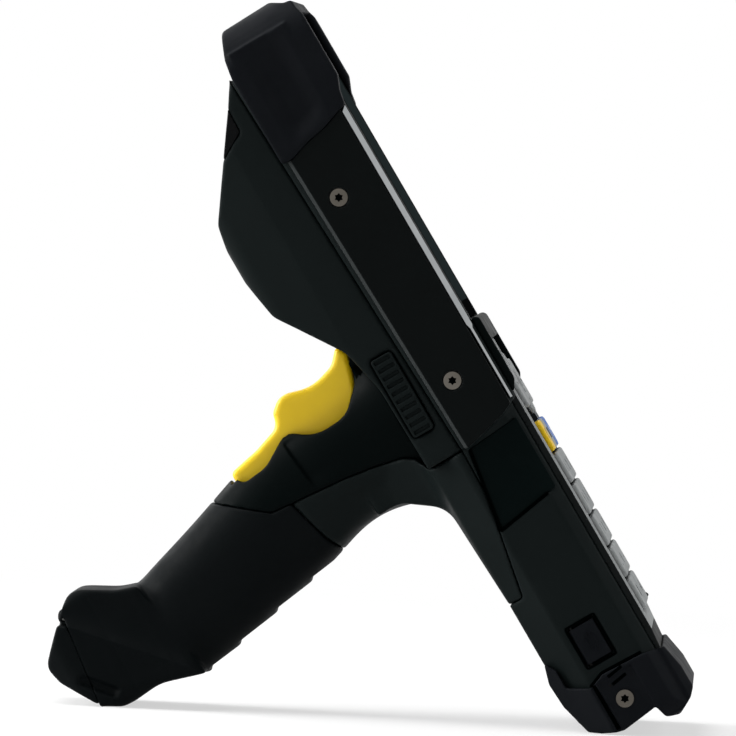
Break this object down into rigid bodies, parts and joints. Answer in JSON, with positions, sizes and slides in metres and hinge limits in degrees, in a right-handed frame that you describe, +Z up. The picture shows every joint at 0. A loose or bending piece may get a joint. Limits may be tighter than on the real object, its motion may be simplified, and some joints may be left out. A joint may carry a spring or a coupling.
{
  "type": "portable barcode data terminal",
  "caption": "Gun-grip mobile data terminal: display and keypad body with rubber bumpers, scan bulge with window, and a pistol handle with a finger trigger.",
  "frame": {"origin": "centre of the bounding box in plan, on the surface that the terminal stands on", "axes": "+Z up with the terminal standing on its grip foot and bottom bumper, the display facing +X and up, +Y across towards the side without the port lid"},
  "size_m": [0.1826, 0.0796, 0.2015],
  "materials": {
    "body_plastic": "fine-grained black moulded plastic",
    "dark_panel": "darker grained plastic",
    "boot_rubber": "matte black rubber",
    "grip_rubber": "soft black rubber with a fine texture",
    "trim_metal": "satin silver",
    "screw_steel": "nickel-plated steel",
    "pin_steel": "plain steel",
    "key_grey": "light grey moulded keys with pale marks",
    "key_yellow": "yellow moulded key",
    "key_blue": "blue moulded key",
    "trigger_yellow": "satin yellow moulded plastic",
    "glass_black": "glossy black glass",
    "inner_plastic": "plain moulded plastic",
    "membrane_rubber": "silicone rubber",
    "board_green": "green circuit board",
    "port_metal": "plated connector shell"
  },
  "bodies": {
    "terminal": {"main_housing": "body_plastic", "rear_housing": "body_plastic", "handle_front_shell": "body_plastic", "handle_rear_shell": "body_plastic", "grip_sleeve": "grip_rubber", "grip_tube": "inner_plastic", "grip_foot": "body_plastic", "door_pin": "pin_steel", "battery_cell": "inner_plastic", "battery_contact": "board_green", "top_bumper": "boot_rubber", "bottom_bumper": "boot_rubber", "side_plate_left": "body_plastic", "side_plate_right": "body_plastic", "side_trim_left": "trim_metal", "side_trim_right": "trim_metal", "plate_screws": "screw_steel", "bumper_screws": "screw_steel", "waist_panel_left": "dark_panel", "waist_panel_right": "dark_panel", "keypad_collar": "body_plastic", "keypad_bezel": "body_plastic", "keypad_membrane": "membrane_rubber", "keypad_board": "board_green", "display_glass": "glass_black", "display_panel": "inner_plastic", "main_board": "board_green", "data_port": "port_metal", "port_lid_pin": "pin_steel", "scan_window": "glass_black", "scan_engine": "inner_plastic", "speaker": "inner_plastic", "trigger_pin": "pin_steel", "trigger_spring": "pin_steel", "trigger_switch": "inner_plastic"},
    "trigger_body": {"trigger": "trigger_yellow"},
    "port_lid_body": {"port_lid": "boot_rubber"},
    "battery_door_body": {"battery_door": "body_plastic"},
    "latch_left_body": {"side_latch_left": "body_plastic"},
    "latch_right_body": {"side_latch_right": "body_plastic"},
    "left_soft_key_body": {"left_soft_key": "key_grey"},
    "select_pad_body": {"select_pad": "key_grey"},
    "right_soft_key_body": {"right_soft_key": "key_grey"},
    "yellow_shift_key_body": {"yellow_shift_key": "key_yellow"},
    "scan_key_body": {"scan_key": "key_grey"},
    "blue_shift_key_body": {"blue_shift_key": "key_blue"},
    "key_1_body": {"key_1": "key_grey"},
    "key_2_body": {"key_2": "key_grey"},
    "key_3_body": {"key_3": "key_grey"},
    "key_4_body": {"key_4": "key_grey"},
    "key_5_body": {"key_5": "key_grey"},
    "key_6_body": {"key_6": "key_grey"},
    "key_7_body": {"key_7": "key_grey"},
    "key_8_body": {"key_8": "key_grey"},
    "key_9_body": {"key_9": "key_grey"},
    "key_dot_body": {"key_dot": "key_grey"},
    "key_0_body": {"key_0": "key_grey"},
    "key_dash_body": {"key_dash": "key_grey"},
    "power_key_body": {"power_key": "key_grey"},
    "enter_key_body": {"enter_key": "key_grey"}
  },
  "joints": [
    {"name": "trigger_pull", "type": "hinge", "parent": "terminal", "child": "trigger_body", "pos_m": [-0.03359, 0, 0.06177], "axis": [0, 1, 0], "range_deg": [0, 4.5], "stiffness_Nm_per_rad": 0.9, "springref_deg": -4.58},
    {"name": "port_lid_hinge", "type": "hinge", "parent": "terminal", "child": "port_lid_body", "pos_m": [0.05948, -0.0341, 0.02409], "axis": [0.5419, 0, -0.8405], "range_deg": [0, 100]},
    {"name": "battery_door_hinge", "type": "hinge", "parent": "terminal", "child": "battery_door_body", "pos_m": [-0.08714, 0, 0.02451], "axis": [0, 1, 0], "range_deg": [0, 95]},
    {"name": "latch_left_press", "type": "slide", "parent": "terminal", "child": "latch_left_body", "axis": [0, -1, 0], "range_m": [0, 0.0012], "stiffness_N_per_m": 1500, "springref_m": -0.0006},
    {"name": "latch_right_press", "type": "slide", "parent": "terminal", "child": "latch_right_body", "axis": [0, 1, 0], "range_m": [0, 0.0012], "stiffness_N_per_m": 1500, "springref_m": -0.0006},
    {"name": "left_soft_key_press", "type": "slide", "parent": "terminal", "child": "left_soft_key_body", "axis": [-0.8405, 0, -0.5419], "range_m": [0, 0.0009], "stiffness_N_per_m": 600, "springref_m": -0.0006},
    {"name": "select_pad_press", "type": "slide", "parent": "terminal", "child": "select_pad_body", "axis": [-0.8405, 0, -0.5419], "range_m": [0, 0.0009], "stiffness_N_per_m": 600, "springref_m": -0.0006},
    {"name": "right_soft_key_press", "type": "slide", "parent": "terminal", "child": "right_soft_key_body", "axis": [-0.8405, 0, -0.5419], "range_m": [0, 0.0009], "stiffness_N_per_m": 600, "springref_m": -0.0006},
    {"name": "yellow_shift_key_press", "type": "slide", "parent": "terminal", "child": "yellow_shift_key_body", "axis": [-0.8405, 0, -0.5419], "range_m": [0, 0.0009], "stiffness_N_per_m": 600, "springref_m": -0.0006},
    {"name": "scan_key_press", "type": "slide", "parent": "terminal", "child": "scan_key_body", "axis": [-0.8405, 0, -0.5419], "range_m": [0, 0.0009], "stiffness_N_per_m": 600, "springref_m": -0.0006},
    {"name": "blue_shift_key_press", "type": "slide", "parent": "terminal", "child": "blue_shift_key_body", "axis": [-0.8405, 0, -0.5419], "range_m": [0, 0.0009], "stiffness_N_per_m": 600, "springref_m": -0.0006},
    {"name": "key_1_press", "type": "slide", "parent": "terminal", "child": "key_1_body", "axis": [-0.8405, 0, -0.5419], "range_m": [0, 0.0009], "stiffness_N_per_m": 600, "springref_m": -0.0006},
    {"name": "key_2_press", "type": "slide", "parent": "terminal", "child": "key_2_body", "axis": [-0.8405, 0, -0.5419], "range_m": [0, 0.0009], "stiffness_N_per_m": 600, "springref_m": -0.0006},
    {"name": "key_3_press", "type": "slide", "parent": "terminal", "child": "key_3_body", "axis": [-0.8405, 0, -0.5419], "range_m": [0, 0.0009], "stiffness_N_per_m": 600, "springref_m": -0.0006},
    {"name": "key_4_press", "type": "slide", "parent": "terminal", "child": "key_4_body", "axis": [-0.8405, 0, -0.5419], "range_m": [0, 0.0009], "stiffness_N_per_m": 600, "springref_m": -0.0006},
    {"name": "key_5_press", "type": "slide", "parent": "terminal", "child": "key_5_body", "axis": [-0.8405, 0, -0.5419], "range_m": [0, 0.0009], "stiffness_N_per_m": 600, "springref_m": -0.0006},
    {"name": "key_6_press", "type": "slide", "parent": "terminal", "child": "key_6_body", "axis": [-0.8405, 0, -0.5419], "range_m": [0, 0.0009], "stiffness_N_per_m": 600, "springref_m": -0.0006},
    {"name": "key_7_press", "type": "slide", "parent": "terminal", "child": "key_7_body", "axis": [-0.8405, 0, -0.5419], "range_m": [0, 0.0009], "stiffness_N_per_m": 600, "springref_m": -0.0006},
    {"name": "key_8_press", "type": "slide", "parent": "terminal", "child": "key_8_body", "axis": [-0.8405, 0, -0.5419], "range_m": [0, 0.0009], "stiffness_N_per_m": 600, "springref_m": -0.0006},
    {"name": "key_9_press", "type": "slide", "parent": "terminal", "child": "key_9_body", "axis": [-0.8405, 0, -0.5419], "range_m": [0, 0.0009], "stiffness_N_per_m": 600, "springref_m": -0.0006},
    {"name": "key_dot_press", "type": "slide", "parent": "terminal", "child": "key_dot_body", "axis": [-0.8405, 0, -0.5419], "range_m": [0, 0.0009], "stiffness_N_per_m": 600, "springref_m": -0.0006},
    {"name": "key_0_press", "type": "slide", "parent": "terminal", "child": "key_0_body", "axis": [-0.8405, 0, -0.5419], "range_m": [0, 0.0009], "stiffness_N_per_m": 600, "springref_m": -0.0006},
    {"name": "key_dash_press", "type": "slide", "parent": "terminal", "child": "key_dash_body", "axis": [-0.8405, 0, -0.5419], "range_m": [0, 0.0009], "stiffness_N_per_m": 600, "springref_m": -0.0006},
    {"name": "power_key_press", "type": "slide", "parent": "terminal", "child": "power_key_body", "axis": [-0.8405, 0, -0.5419], "range_m": [0, 0.0009], "stiffness_N_per_m": 600, "springref_m": -0.0006},
    {"name": "enter_key_press", "type": "slide", "parent": "terminal", "child": "enter_key_body", "axis": [-0.8405, 0, -0.5419], "range_m": [0, 0.0009], "stiffness_N_per_m": 600, "springref_m": -0.0006}
  ]
}
